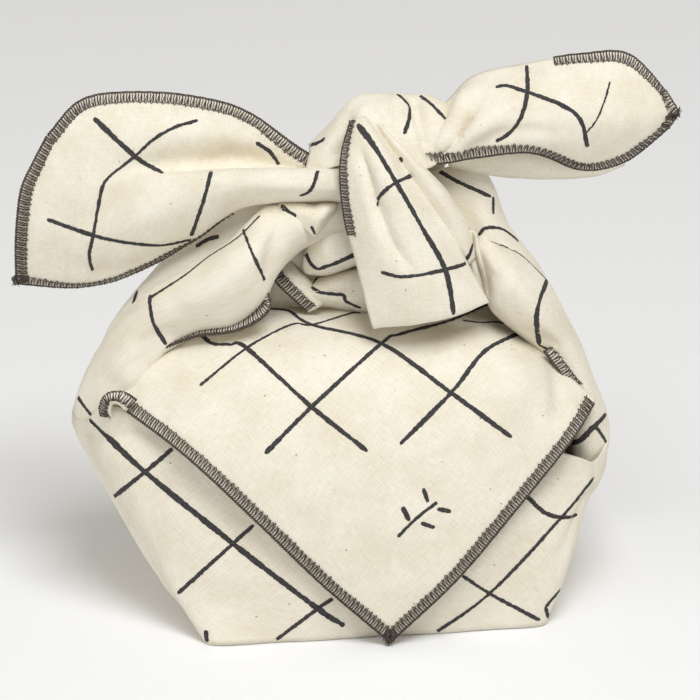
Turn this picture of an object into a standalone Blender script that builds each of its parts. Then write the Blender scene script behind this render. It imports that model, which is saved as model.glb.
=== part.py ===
# A furoshiki wrap: one square cotton cloth tied round a bundle. Everything here is that one cloth.
# Millimetres in the tables below, metres in the meshes. +X is right, -Y is the front, +Z is up.
import bmesh
import bpy
from mathutils import Vector

mm = 0.001
clothThickness = 2.0        # the sheet, in mm
floorSkin = 1.0             # height of the base sheet's middle above the surface, half the thickness
stepsPerCell = 2            # straight facets between two neighbouring points of a table

# Where the sheet stands round the base, from the front centre towards the left, at each height
baseRing = [(6, -50), (-30, -55), (-66, -60), (-71, -48), (-73, -36), (-76, -6), (-79, 22), (-78, 35), (-44, 40),
            (-8, 45), (28, 50), (61, 55), (67, 40), (70, 15), (74, -15), (77, -30), (76, -40), (42, -45)]
lowRing = [(6, -55), (-33, -58), (-75, -55), (-85, -46), (-90, -32), (-93, -6), (-90, 20), (-82, 41), (-45, 47),
           (-8, 51), (30, 55), (69, 57), (80, 40), (85, 14), (87, -14), (87, -30), (80, -42), (44, -50)]
bellyRing = [(4, -57), (-35, -58), (-80, -51), (-98, -42), (-107, -28), (-112, -6), (-106, 20), (-88, 46), (-46, 54),
             (-6, 58), (32, 60), (76, 57), (91, 40), (95, 14), (96, -12), (95, -26), (86, -38), (46, -51)]
sideRing = [(4, -51), (-36, -53), (-82, -46), (-108, -39), (-120, -24), (-126, -6), (-116, 20), (-92, 46), (-46, 56),
            (-4, 60), (34, 61), (78, 56), (98, 38), (105, 14), (107, -8), (104, -20), (90, -31), (46, -45)]
topRing = [(4, -43), (-36, -44), (-80, -41), (-112, -34), (-121, -22), (-125, -8), (-116, 18), (-92, 42), (-46, 52),
           (-2, 56), (36, 57), (76, 52), (96, 34), (104, 12), (105, -5), (98, -16), (88, -26), (46, -37)]
topHeights = [99, 99, 100, 103, 101, 99, 100, 101, 104, 106, 105, 102, 99, 97, 94, 86, 85, 93]
ringHeights = {"base": floorSkin, "low": 20, "belly": 50, "side": 79}

# The corner that folds over the top and hangs down the front. Rows run up its right edge from the tip,
# and the points of a row run up along its left edge, 40 mm of cloth apart.
flap = [
    [(11, -60, 2), (-18, -64, 32), (-47, -65, 61), (-77, -57, 88), (-110, -34, 105)],
    [(39, -59, 33), (8, -62, 64), (-22, -58, 91), (-52, -48, 115), (-85, -23, 122)],
    [(65, -53, 63), (34, -54, 93), (4, -44, 118), (-26, -28, 131), (-56, -2, 132)],
    [(89, -40, 88), (61, -39, 119), (29, -20, 132), (3, 5, 133), (-28, 28, 131.5)],
    [(101, -22, 98), (82, -12, 121), (54, 16, 130), (28, 38, 130), (0, 50, 129.5)],
]

# The back of the bundle, from the wall's top edge forward over the top, under the flap
backTop = [
    [(-90, 40, 96), (-46, 51, 98), (-2, 55, 100), (36, 56, 99), (74, 50, 97)],
    [(-80, 38, 116), (-44, 46, 124), (0, 51, 128), (36, 48, 126), (68, 42, 116)],
    [(-64, 20, 124), (-38, 24, 130), (0, 26, 131), (34, 24, 130), (60, 20, 124)],
    [(-52, -6, 128), (-25, -4, 131), (0, -4, 132), (28, -4, 131), (50, -4, 127)],
]

# The left corner, pulled up to the knot. Rows climb from its foot on the left side to the knot,
# and the points of a row go from the front border over the top fold and down the back.
leftWing = [
    [(-110, -33, 98), (-120, -22, 96), (-124, -8, 94), (-115, 18, 95), (-90, 41, 96)],
    [(-86, -24, 122), (-104, -16, 120), (-114, -2, 118), (-106, 20, 116), (-82, 40, 114)],
    [(-65, -19, 133), (-78, -15, 144), (-87, 2, 149), (-82, 22, 136), (-66, 34, 122)],
    [(-45, -15, 138), (-54, -15, 153), (-61, 2, 165), (-58, 18, 150), (-46, 31, 126)],
    [(-37, -12, 157), (-39, -14, 172), (-41, 2, 181), (-38, 14, 164), (-30, 26, 129)],
    [(-18, -8, 170), (-18, -10, 178), (-17, 0, 186), (-16, 12, 170), (-14, 24, 130)],
    [(8, -8, 170), (8, -10, 180), (8, 0, 190), (8, 12, 170), (8, 24, 130)],
]

# The right corner, pulled up to the knot, in the same order
rightWing = [
    [(102, -11, 88), (104, -5, 89), (103, 12, 92), (95, 33, 94), (74, 50, 97)],
    [(86, -13, 112), (93, -5, 111), (94, 8, 112), (87, 28, 113), (68, 43, 114)],
    [(70, -16, 130), (79, -10, 133), (84, 4, 131), (75, 24, 129), (60, 35, 122)],
    [(57, -18, 143), (67, -12, 154), (76, 3, 150), (65, 19, 143), (48, 31, 126)],
    [(53, -16, 162), (56, -12, 173), (63, 2, 170), (53, 15, 160), (38, 26, 129)],
    [(38, -8, 178), (40, -6, 188), (46, 3, 190), (36, 13, 172), (28, 24, 130)],
    [(10, -8, 172), (10, -8, 182), (10, 0, 190), (10, 12, 170), (10, 24, 130)],
]

# The band that runs down the front of the knot and turns under at its foot
band = [
    [(-6, -12, 225), (-4, -15, 228), (-1, -16, 229), (1, -12, 228)],
    [(-10, -24, 211), (0, -33, 215), (10, -33, 215), (18, -20, 210)],
    [(-9, -30, 190), (4, -40, 194), (20, -39, 194), (33, -26, 189)],
    [(-5, -34, 169), (10, -43, 173), (28, -41, 172), (43, -28, 168)],
    [(2, -36, 140), (16, -41, 143), (36, -40, 147), (53, -27, 148)],
    [(4, -28, 142), (17, -31, 145), (35, -30, 148), (50, -20, 150)],
]

# The cloth over the top of the knot, from the front across the crown and down the back
crown = [
    [(-26, -14, 202), (-24, -8, 208), (-24, 4, 208), (-21, 16, 190), (-14, 17, 152)],
    [(-14, -18, 206), (-14, -12, 218), (-14, 3, 219), (-12, 20, 198), (-6, 21, 146)],
    [(-3, -20, 210), (-4, -13, 226), (-4, 4, 230), (-3, 23, 204), (2, 23, 142)],
    [(12, -24, 208), (12, -16, 226), (12, 4, 232), (12, 25, 206), (12, 24, 142)],
    [(26, -22, 204), (26, -16, 224), (26, 3, 233), (26, 23, 204), (20, 22, 146)],
    [(36, -14, 200), (36, -10, 220), (35, 3, 228), (36, 18, 200), (27, 18, 154)],
]

# The free end on the left. Rows go from the knot out to the tip, and the points of a row go down
# from the upper edge over a deep fold to the lower edge.
leftEar = [
    [(8, -6, 204), (8, -6, 200), (8, -10, 200), (8, -16, 203), (8, -20, 196), (8, -14, 188)],
    [(-20, -2, 206), (-20, -5, 201), (-20, -8, 200), (-18, -17, 205), (-18, -22, 199), (-18, -14, 190)],
    [(-50, 6, 222), (-50, -3, 212), (-50, -8, 202), (-50, -18, 207), (-50, -22, 201), (-51, -14, 189)],
    [(-73, 4, 230), (-73, -9, 216), (-74, -12, 205), (-74, -17, 203), (-74, -18, 192), (-74, -9, 171)],
    [(-100, 1, 233), (-100, -11, 220), (-100, -14, 206), (-101, -15, 196), (-101, -14, 178), (-100, -6, 154)],
    [(-122, 0, 230), (-124, -9, 214), (-125, -12, 197), (-125, -12, 182), (-125, -10, 165), (-124, -3, 145)],
    [(-137, -4, 215), (-143, -7, 204), (-148, -9, 193), (-150, -9, 179), (-151, -7, 164), (-151, -3, 147)],
]

# The free end on the right, in the same order
rightEar = [
    [(10, 0, 222), (10, -10, 216), (10, -14, 210), (10, -14, 206), (10, -8, 200)],
    [(31, 2, 226), (33, -11, 223), (32, -19, 215), (29, -17, 208), (27, -8, 200)],
    [(47, 4, 240), (46, -10, 235), (49, -20, 226), (49, -18, 215), (50, -10, 206)],
    [(70, 5, 245), (70, -8, 239), (71, -18, 230), (72, -18, 218), (72, -10, 206)],
    [(92, 3, 247), (93, -7, 240), (94, -14, 229), (94, -13, 214), (94, -6, 199)],
    [(113, 1, 248), (115, -6, 239), (116, -10, 228), (116, -9, 216), (116, -4, 201)],
    [(130, 0, 232), (132, -3, 229), (134, -4, 226), (133, -4, 223), (131, -3, 219)],
]


def clear_scene():
    for thing in list(bpy.data.objects):
        bpy.data.objects.remove(thing, do_unlink=True)


def between(before, start, end, after, t):
    """A point on the smooth curve through four neighbouring points, t of the way from start to end."""
    bend = 2 * before - 5 * start + 4 * end - after
    twist = 3 * start - before - 3 * end + after
    return start + 0.5 * t * ((end - before) + t * (bend + t * twist))


def curve_point(points, s, closed):
    """The point at s, counted in spans from the first point, on the smooth curve through all of them."""
    count = len(points)
    span = min(int(s), count - (1 if closed else 2))
    t = s - span
    if closed:
        near = [points[(span + k) % count] for k in (-1, 0, 1, 2)]
    else:
        start, end = points[span], points[span + 1]
        before = points[span - 1] if span > 0 else 2 * start - end
        after = points[span + 2] if span + 2 < count else 2 * end - start
        near = [before, start, end, after]
    return between(*near, t)


def net_point(net, row, column, closed):
    return curve_point([curve_point(points, column, closed) for points in net], row, False)


def as_vectors(table):
    return [[Vector(point) for point in points] for points in table]


def sheet_mesh(table, closed=False):
    """A single skin through a table of points; a closed table joins up round its rows."""
    net = as_vectors(table)
    rows = len(net) - 1
    columns = len(net[0]) if closed else len(net[0]) - 1
    bm = bmesh.new()
    bmesh.ops.create_grid(bm, x_segments=columns * stepsPerCell, y_segments=rows * stepsPerCell, size=0.5)
    for vert in bm.verts:
        column = round((vert.co.x + 0.5) * columns * stepsPerCell) / stepsPerCell
        row = round((vert.co.y + 0.5) * rows * stepsPerCell) / stepsPerCell
        vert.co = net_point(net, row, column, closed) * mm
    if closed:
        bmesh.ops.remove_doubles(bm, verts=bm.verts, dist=0.01 * mm)
    return bm


def finish_sheet(name, bm):
    """Turns a skin into an object with the cloth's thickness, half to each side of the skin."""
    mesh = bpy.data.meshes.new(name)
    bmesh.ops.recalc_face_normals(bm, faces=bm.faces)
    bm.to_mesh(mesh)
    bm.free()
    sheet = bpy.data.objects.new(name, mesh)
    bpy.context.scene.collection.objects.link(sheet)
    solidify = sheet.modifiers.new("thickness", "SOLIDIFY")
    solidify.thickness = clothThickness * mm
    solidify.offset = 0
    return sheet


def make_wall():
    """The base and the wall that rises from it to the top edge of the bundle."""
    rings = [baseRing, lowRing, bellyRing, sideRing]
    table = [[(x, y, z) for x, y in ring] for ring, z in zip(rings, ringHeights.values())]
    table.append([(x, y, z) for (x, y), z in zip(topRing, topHeights)])
    bm = sheet_mesh(table, closed=True)
    floorEdges = [edge for edge in bm.edges if all(vert.co.z < 1.01 * floorSkin * mm for vert in edge.verts)]
    bmesh.ops.contextual_create(bm, geom=floorEdges)
    wall = finish_sheet("cloth", bm)
    wall.modifiers["thickness"].use_even_offset = True
    return wall


def cotton():
    """Unbleached plain cotton."""
    material = bpy.data.materials.new("cotton")
    material.use_nodes = True
    shader = material.node_tree.nodes["Principled BSDF"]
    shader.inputs["Base Color"].default_value = (0.80, 0.75, 0.62, 1)
    shader.inputs["Roughness"].default_value = 0.9
    shader.inputs["Metallic"].default_value = 0
    return material


def main():
    clear_scene()
    cloth = make_wall()
    cloth.data.materials.append(cotton())
    tables = {"flap": flap, "backTop": backTop, "leftWing": leftWing, "rightWing": rightWing, "band": band,
              "crown": crown, "leftEar": leftEar, "rightEar": rightEar}
    for name, table in tables.items():
        part = finish_sheet(name, sheet_mesh(table))
        part.hide_render = True
        part.display_type = "WIRE"
        union = cloth.modifiers.new("with " + name, "BOOLEAN")
        union.operation = "UNION"
        union.solver = "EXACT"
        union.object = part
        union.use_self = True
    cloth.data.shade_smooth()


main()
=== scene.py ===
import math
import random
import bmesh
import bpy
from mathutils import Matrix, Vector, noise
from mathutils.bvhtree import BVHTree


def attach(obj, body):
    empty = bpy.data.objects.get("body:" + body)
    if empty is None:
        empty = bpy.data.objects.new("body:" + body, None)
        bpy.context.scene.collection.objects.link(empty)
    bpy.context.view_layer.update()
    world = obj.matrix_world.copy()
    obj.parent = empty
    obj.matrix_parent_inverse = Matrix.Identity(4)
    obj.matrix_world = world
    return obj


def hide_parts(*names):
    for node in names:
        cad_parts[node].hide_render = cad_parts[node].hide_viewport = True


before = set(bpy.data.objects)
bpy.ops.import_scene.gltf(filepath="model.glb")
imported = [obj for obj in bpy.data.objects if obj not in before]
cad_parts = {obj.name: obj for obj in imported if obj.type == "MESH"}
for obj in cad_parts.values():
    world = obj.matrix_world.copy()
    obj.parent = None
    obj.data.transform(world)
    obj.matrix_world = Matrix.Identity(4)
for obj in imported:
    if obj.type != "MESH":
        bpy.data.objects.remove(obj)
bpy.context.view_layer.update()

# One cotton square tied as a bundle. Tables are in millimetres, meshes in metres.
# +X is right, -Y the front, +Z up. The lines are laid out on a board that leans back by boardTilt
# and pressed straight onto the cloth: across, and up along the board, from the middle of the base.
mm = 0.001
boardTilt = math.radians(23)
random.seed(7)

cloth = {
    "side": 500,            # the square, cut edge to cut edge
    "thickness": 0.8,
    "facet": 2.2,           # the grid's size where the cloth is seen from in front
    "swell": 1.0,           # slow unevenness, and how long its waves are
    "swellLength": 34,
    "crumple": 0.34,        # small unevenness
    "crumpleLength": 8,
}

# ---- curves and surfaces through given points


def between(before, start, end, after, t):
    bend = 2 * before - 5 * start + 4 * end - after
    twist = 3 * start - before - 3 * end + after
    return start + 0.5 * t * ((end - before) + t * (bend + t * twist))


def curvePoint(points, s, closed=False):
    count = len(points)
    span = max(0, min(int(s), count - (1 if closed else 2)))
    t = s - span
    if closed:
        return between(*[points[(span + k) % count] for k in (-1, 0, 1, 2)], t)
    start, end = points[span], points[span + 1]
    before = points[span - 1] if span > 0 else 2 * start - end
    after = points[span + 2] if span + 2 < count else 2 * end - start
    return between(before, start, end, after, t)


def netPoint(net, row, column, closed):
    return curvePoint([curvePoint(points, column, closed) for points in net], row)


def meanSpacing(lines):
    lengths = [sum((b - a).length for a, b in zip(line, line[1:])) / (len(line) - 1) for line in lines]
    return sum(lengths) / len(lengths)


def offBoard(across, up, y):
    # a point seen at (across, up) on the leaning board, y in front of or behind the bundle's middle
    return Vector((across, y, (up - y * math.sin(boardTilt)) / math.cos(boardTilt)))


class Sheet:
    # One stretch of the cloth: a grid skin through a net, then its folds. Rows and columns count the
    # net's own points, so 1.5 is half way between the second and the third.
    def __init__(self, name, piece):
        self.name = name
        self.closed = piece.get("closed", False)
        self.net = [[Vector(point) for point in points] for points in piece["net"]]
        if piece.get("onBoard"):
            self.net = [[offBoard(*point) for point in points] for points in self.net]
        self.rows = len(self.net) - 1
        self.columns = len(self.net[0]) - (0 if self.closed else 1)
        facet = piece.get("facet", cloth["facet"])
        self.acrossSteps = max(1, round(meanSpacing(self.net) / facet))
        self.upSteps = max(1, round(meanSpacing(list(zip(*self.net))) / facet))
        self.bm = bmesh.new()
        bmesh.ops.create_grid(self.bm, x_segments=self.columns * self.acrossSteps,
                              y_segments=self.rows * self.upSteps, size=0.5)
        place = self.bm.verts.layers.float_vector.new("place")
        for vert in self.bm.verts:
            column = round((vert.co.x + 0.5) * self.columns * self.acrossSteps) / self.acrossSteps
            row = round((vert.co.y + 0.5) * self.rows * self.upSteps) / self.upSteps
            vert[place] = (row, column, 0)
            vert.co = netPoint(self.net, row, column, self.closed) * mm
        self.place = place
        self.setUvs(piece["flat"])
        if self.closed:
            bmesh.ops.remove_doubles(self.bm, verts=self.bm.verts, dist=0.01 * mm)
        self.faceFront(piece.get("faces", (0, -1, 0.4)))
        for fold in piece.get("folds", []):
            self.pressFold(*fold)
        self.unsettle(piece.get("calm", 1.0))
        self.tree = BVHTree.FromBMesh(self.bm)

    def setUvs(self, flat):
        # flat gives the cloth's own coordinates in mm at the net's four corners
        layer = self.bm.loops.layers.uv.new("flat")
        corners = [Vector(corner) for corner in flat]
        for face in self.bm.faces:
            for loop in face.loops:
                row, column, rest = loop.vert[self.place]
                low = corners[0].lerp(corners[1], column / self.columns)
                high = corners[2].lerp(corners[3], column / self.columns)
                loop[layer].uv = low.lerp(high, row / self.rows) * mm

    def faceFront(self, towards):
        if self.closed:
            bmesh.ops.recalc_face_normals(self.bm, faces=self.bm.faces)
        self.bm.normal_update()
        middle = sum((face.calc_center_median() for face in self.bm.faces), Vector()) / len(self.bm.faces)
        lean = 0
        for face in self.bm.faces:
            goal = (face.calc_center_median() - middle) if self.closed else Vector(towards)
            lean += face.normal.dot(goal) * face.calc_area()
        if lean < 0:
            bmesh.ops.reverse_faces(self.bm, faces=self.bm.faces)
        self.bm.normal_update()

    def pressFold(self, path, width, height):
        # a soft ridge, or a trough where height is negative, along a path of (row, column) points
        points = [netPoint(self.net, row, column, self.closed) for row, column in path]
        route = []
        for span in range(len(points) - 1):
            route += [curvePoint(points, span + k / 8) for k in range(8)]
        route.append(points[-1])
        self.bm.normal_update()
        moves = []
        for vert in self.bm.verts:
            here = vert.co / mm
            nearest = min(range(len(route)), key=lambda k: (route[k] - here).length_squared)
            far = (route[nearest] - here).length
            if far < 3 * width:
                along = nearest / (len(route) - 1)
                fade = min(1, 4 * along, 4 * (1 - along)) if len(path) > 1 else 1
                moves.append((vert, vert.normal * height * fade * math.exp(-(far / width) ** 2) * mm))
        for vert, move in moves:
            vert.co += move

    def unsettle(self, calm):
        self.bm.normal_update()
        moves = []
        for vert in self.bm.verts:
            here = vert.co / mm
            slow = noise.noise(here / cloth["swellLength"]) * cloth["swell"]
            small = noise.noise(here / cloth["crumpleLength"] + Vector((40, 0, 0))) * cloth["crumple"]
            moves.append(vert.normal * (slow + small) * calm * mm)
        for vert, move in zip(self.bm.verts, moves):
            vert.co += move

    def onBoard(self, across, up):
        # where a point of the leaning board lands on this sheet: its place and the way the cloth faces
        upward = Vector((0, math.sin(boardTilt), math.cos(boardTilt)))
        inward = Vector((0, math.cos(boardTilt), -math.sin(boardTilt)))
        start = Vector((across, 0, 0)) * mm + upward * up * mm - inward * 0.5
        spot, normal, index, far = self.tree.ray_cast(start, inward)
        if not spot:
            return None
        return spot, -normal if normal.dot(inward) > 0 else normal

    def near(self, point):
        spot, normal, index, far = self.tree.find_nearest(point)
        return spot, normal


def finishPiece(name, bm, material):
    mesh = bpy.data.meshes.new(name)
    bm.to_mesh(mesh)
    bm.free()
    piece = bpy.data.objects.new(name, mesh)
    bpy.context.scene.collection.objects.link(piece)
    mesh.shade_smooth()
    mesh.materials.append(material)
    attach(piece, "root")
    return piece


# ---- the stretches of the cloth

hangingCorner = {
    "net": [
        [(11, -61, 1.5), (-19, -64, 31), (-47, -65, 61), (-77, -57, 88), (-110, -34, 105)],
        [(40.4, -59, 31.6), (8, -62, 64), (-22, -58, 91), (-52, -48, 115), (-85, -23, 122)],
        [(65.9, -53, 62.2), (34, -54, 93), (4, -44, 118), (-26, -28, 131), (-56, -2, 132)],
        [(89, -40, 88), (61, -39, 119), (29, -20, 132), (3, 5, 133), (-28, 28, 131.5)],
        [(100, -23, 99.5), (79, -14, 117), (54, 16, 129), (28, 38, 130), (0, 50, 129.5)],
    ],
    "flat": [(0, 0), (0, 160), (160, 0), (160, 160)],
    "facet": 1.9,
    "folds": [
        ([(0.6, 1.2), (1.2, 1.9), (1.7, 2.8)], 9, 1.4),
        ([(1.3, 0.6), (2.0, 1.3), (2.6, 1.9)], 9, -1.3),
        ([(1.9, 0.3), (2.7, 0.7), (3.4, 1.1)], 8, 1.5),
        ([(0.4, 2.6), (0.9, 3.1), (1.4, 3.7)], 8, -1.4),
        ([(2.9, 0.2), (3.5, 0.5), (4.0, 0.9)], 5, -2.2),
        ([(2.0, 2.4), (2.4, 2.7), (2.7, 3.2)], 6, 1.4),
    ],
}

# where the seam of that corner curls round at its left end
cornerCurl = {
    "onBoard": True,
    "net": [
        [(-103, 78, -42), (-101, 80.5, -42.5), (-98.5, 83, -41)],
        [(-106.5, 81, -42), (-105.5, 83.5, -43), (-104.5, 86.5, -41)],
        [(-109, 81, -41), (-110, 83.5, -42), (-111.5, 85.5, -40)],
        [(-109.5, 78, -40), (-112, 79, -41), (-114.5, 80, -39)],
        [(-109, 75.5, -39), (-111.5, 75.5, -39.5), (-114, 75.5, -38)],
    ],
    "facet": 1.2,
    "flat": [(0, 160), (12, 160), (0, 180), (12, 180)],
}

walls = {
    "net": [
        [(6, -52, 1), (-30, -57, 1), (-66, -61.5, 1), (-71, -48, 1), (-73, -36, 1), (-76, -6, 1),
         (-79, 22, 1),
         (-78, 35, 1), (-44, 40, 1), (-8, 45, 1), (28, 50, 1), (61, 55, 1), (67, 40, 1), (70, 15, 1),
         (74, -15, 1), (77, -30, 1), (76, -41.5, 1), (42, -47, 1)],
        [(6, -55, 20), (-33, -58, 20), (-75, -55, 20), (-85, -46, 20), (-90, -32, 20), (-93, -6, 20),
         (-90, 20, 20), (-82, 41, 20), (-45, 47, 20), (-8, 51, 20), (30, 55, 20), (69, 57, 20),
          (80, 40, 20),
         (85, 14, 20), (87, -14, 20), (87, -30, 20), (80, -42, 20), (44, -50, 20)],
        [(4, -57, 50), (-35, -58, 50), (-80, -51, 50), (-98, -42, 50), (-107, -28, 50), (-112, -6, 50),
         (-106, 20, 50), (-88, 46, 50), (-46, 54, 50), (-6, 58, 50), (32, 60, 50), (76, 57, 50),
          (91, 40, 50),
         (95, 14, 50), (96, -12, 50), (95, -26, 50), (86, -38, 50), (46, -51, 50)],
        [(4, -51, 79), (-36, -53, 79), (-82, -46, 79), (-108, -39, 79), (-120, -24, 79), (-126, -6, 79),
         (-116, 20, 79), (-92, 46, 79), (-46, 56, 79), (-4, 60, 79), (34, 61, 79), (78, 56, 79),
          (96, 37, 74),
         (102, 14, 66), (104, -10, 62), (99.5, -24, 60), (91, -33, 66), (46, -45, 79)],
        [(4, -43, 99), (-36, -44, 99), (-80, -42, 100), (-111, -36, 102), (-121, -25, 91), (-127, -8, 88),
         (-118, 18, 94), (-92, 42, 101), (-46, 52, 104), (-2, 56, 106), (36, 57, 105), (76, 52, 102),
         (96, 33, 87), (103, 12, 77), (105.5, -10, 76), (99.5, -25, 72), (90, -31, 77), (46, -37, 93)],
    ],
    "closed": True,
    "facet": 2.7,
    "folds": [
        ([(3.9, 1.9), (3.5, 2.8), (3.3, 3.6), (3.4, 4.4)], 4, -2.2),
        ([(3.6, 1.6), (3.1, 2.4), (2.9, 3.4)], 5, 1.8),
        ([(1.0, 16.0), (2.0, 15.6), (3.0, 15.3)], 3.5, -2.4),
        ([(0.4, 3.0), (1.2, 3.1), (2.2, 3.3)], 3.5, -1.6),
        ([(1.0, 1.0), (1.8, 1.6), (2.6, 2.2)], 12, 1.6),
        ([(1.2, 17.0), (2.2, 16.6), (3.0, 16.2)], 8, 1.5),
        ([(1.5, 7.6), (2.5, 8.4), (3.4, 9.6)], 10, -1.8),
        ([(1.2, 10.6), (2.4, 10.1), (3.6, 9.9)], 9, 1.8),
        ([(3.9, 6.2), (3.1, 7.0), (2.2, 7.4)], 7, -2.0),
        ([(3.9, 12.0), (3.0, 11.4), (2.0, 11.3)], 7, -2.0),
    ],
    "flat": [(0, 0), (396, 396), (-71, 71), (325, 467)],
}

backTop = {
    "net": [
        [(-90, 40, 96), (-46, 51, 98), (-2, 55, 100), (36, 56, 99), (74, 50, 97)],
        [(-80, 38, 116), (-44, 46, 124), (0, 51, 128), (36, 48, 126), (68, 42, 116)],
        [(-64, 20, 124), (-38, 24, 130), (0, 26, 131), (34, 24, 130), (60, 20, 124)],
        [(-52, -6, 128), (-25, -4, 131), (0, -4, 132), (28, -4, 131), (50, -4, 127)],
    ],
    "facet": 3.0,
    "faces": (0, 0.3, 1),
    "folds": [
        ([(0.2, 1.0), (1.0, 1.2), (2.0, 1.5)], 8, 2.0),
        ([(0.2, 3.2), (1.0, 2.9), (2.0, 2.5)], 7, -2.0),
        ([(0.3, 2.2), (1.1, 2.0), (1.9, 1.9)], 5, 1.6),
    ],
    "flat": [(300, 180), (180, 300), (230, 110), (110, 230)],
}

leftWing = {
    "net": [
        [(-106, -28, 90), (-114, -18, 82), (-121, -6, 78), (-114, 17, 85), (-90, 41, 96)],
        [(-86, -20, 120), (-104, -12, 118), (-114, 0, 116), (-106, 20, 116), (-82, 40, 114)],
        [(-65, -12, 134), (-78, -13, 144), (-88, 2, 154), (-83, 22, 138), (-66, 34, 122)],
        [(-45, -10, 140), (-54, -14, 157), (-63, 2, 173), (-58, 18, 154), (-46, 31, 126)],
        [(-37, -12, 157), (-40, -13, 174), (-46, 2, 188), (-40, 14, 167), (-30, 26, 129)],
        [(-18, -8, 170), (-18, -10, 178), (-17, 0, 186), (-16, 12, 170), (-14, 24, 130)],
        [(8, -8, 170), (8, -10, 180), (8, 0, 190), (8, 12, 170), (8, 24, 130)],
    ],
    "flat": [(0, 180), (120, 300), (0, 300), (120, 420)],
}

rightWing = {
    "net": [
        [(98, -12, 70), (103, -5, 70), (103, 12, 78), (95, 33, 92), (74, 50, 97)],
        [(86, -13, 112), (93, -5, 111), (94, 8, 112), (87, 28, 113), (68, 43, 114)],
        [(70, -16, 130), (79, -10, 133), (84, 4, 131), (75, 24, 129), (60, 35, 122)],
        [(57, -18, 143), (67, -12, 154), (76, 3, 150), (65, 19, 143), (48, 31, 126)],
        [(53, -16, 162), (56, -12, 173), (63, 2, 170), (53, 15, 160), (38, 26, 129)],
        [(38, -8, 178), (43, -6, 190), (47, 3, 198), (37, 13, 176), (28, 24, 130)],
        [(10, -8, 172), (10, -8, 182), (10, 0, 190), (10, 12, 170), (10, 24, 130)],
    ],
    "flat": [(180, 0), (300, 120), (300, 0), (420, 120)],
}

band = {
    "net": [
        [(-6, -12, 225), (-4, -15, 228), (-1, -16, 229), (1, -12, 228)],
        [(-10, -24, 211), (0, -33, 215), (10, -33, 215), (18, -20, 210)],
        [(-9, -30, 190), (4, -40, 194), (20, -39, 194), (33, -26, 189)],
        [(-4, -34, 169), (10, -43, 173), (28, -41, 172), (43, -28, 168)],
        [(3, -36, 140), (17, -41, 143), (36, -40, 147), (53, -27, 148)],
        [(5, -28, 142), (18, -31, 145), (35, -30, 148), (50, -20, 150)],
    ],
    "facet": 1.3,
    "flat": [(0, 380), (80, 380), (0, 480), (80, 480)],
    "folds": [
        ([(0.5, 0.9), (1.2, 1.0), (2.0, 1.15), (2.8, 1.3), (3.3, 1.6)], 2.6, -4.2),
        ([(0.6, 1.5), (1.6, 1.7), (2.6, 1.9)], 3.5, 1.6),
    ],
}

crown = {
    "net": [
        [(-26, -14, 202), (-24, -8, 208), (-24, 4, 208), (-21, 16, 190), (-14, 17, 152)],
        [(-14, -18, 206), (-14, -12, 218), (-14, 3, 219), (-12, 20, 198), (-6, 21, 146)],
        [(-3, -20, 210), (-4, -13, 226), (-4, 4, 230), (-3, 23, 204), (2, 23, 142)],
        [(12, -24, 208), (12, -16, 226), (12, 4, 232), (12, 25, 206), (12, 24, 142)],
        [(26, -22, 207), (26, -16, 224), (26, 3, 232), (26, 23, 204), (20, 22, 146)],
        [(33, -16, 209), (36, -10, 220), (35, 3, 227), (36, 18, 200), (27, 18, 154)],
    ],
    "faces": (0, -0.3, 1),
    "facet": 1.6,
    "folds": [
        ([(3.5, 2.1), (3.7, 1.4), (4.0, 0.7), (4.3, 0.0)], 2.8, -5.5),
        ([(4.7, 2.0), (4.6, 1.2), (4.7, 0.3)], 3.2, 2.8),
        ([(3.1, 1.9), (3.1, 1.2), (3.3, 0.4)], 3.2, 2.0),
        ([(1.1, 0.0), (1.4, 0.6), (1.9, 1.3)], 3.4, -4.5),
        ([(2.0, 0.0), (2.1, 0.8), (2.5, 1.6)], 3.0, 2.6),
    ],
    "flat": [(300, 300), (400, 300), (300, 400), (400, 400)],
}

leftEnd = {
    "net": [
        [(8, -6, 204), (8, -6, 200), (8, -10, 200), (8, -16, 203), (8, -20, 196), (8, -14, 188),
         (8, -9, 187)],
        [(-20, -2, 204), (-20, -3, 199), (-20, -5, 199), (-18, -18, 205), (-18, -24, 199),
         (-18, -15, 190), (-18, -8, 188)],
        [(-50, 6, 222), (-50, 0, 213), (-50, -3, 201), (-50, -19, 206), (-50, -25, 200),
         (-51, -17, 188), (-51, -9, 186)],
        [(-73, 4, 230), (-73, -6, 217), (-74, -8, 203), (-74, -19, 203), (-74, -22, 192),
         (-74, -13, 173), (-73, -7, 169)],
        [(-100, 1, 233.5), (-100, -10, 221), (-100, -12, 205), (-101, -16, 196), (-101, -17, 178),
         (-100, -9, 156), (-99, -4, 152)],
        [(-122, 0, 230.2), (-124, -9, 215), (-125, -12, 197), (-125, -12, 182), (-125, -11, 165),
         (-124, -6, 148), (-123, -2, 144)],
        [(-137, -4, 215), (-143, -7, 204), (-148, -9, 193), (-150, -9, 179), (-151, -7, 164),
         (-151, -4, 150), (-150, -3, 146)],
    ],
    "facet": 1.5,
    "flat": [(0, 220), (160, 220), (0, 40), (90, 0)],
    "folds": [
        ([(1.6, 0.9), (2.6, 0.9), (3.8, 1.2)], 5, 2.0),
        ([(1.4, 1.7), (2.4, 1.8), (3.6, 2.0), (4.6, 2.1)], 4.5, -2.6),
        ([(3.2, 3.6), (4.2, 3.9), (5.2, 4.2)], 7, 1.4),
        ([(3.0, 5.0), (4.0, 4.9), (5.0, 4.7)], 5, -1.4),
    ],
}

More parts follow.
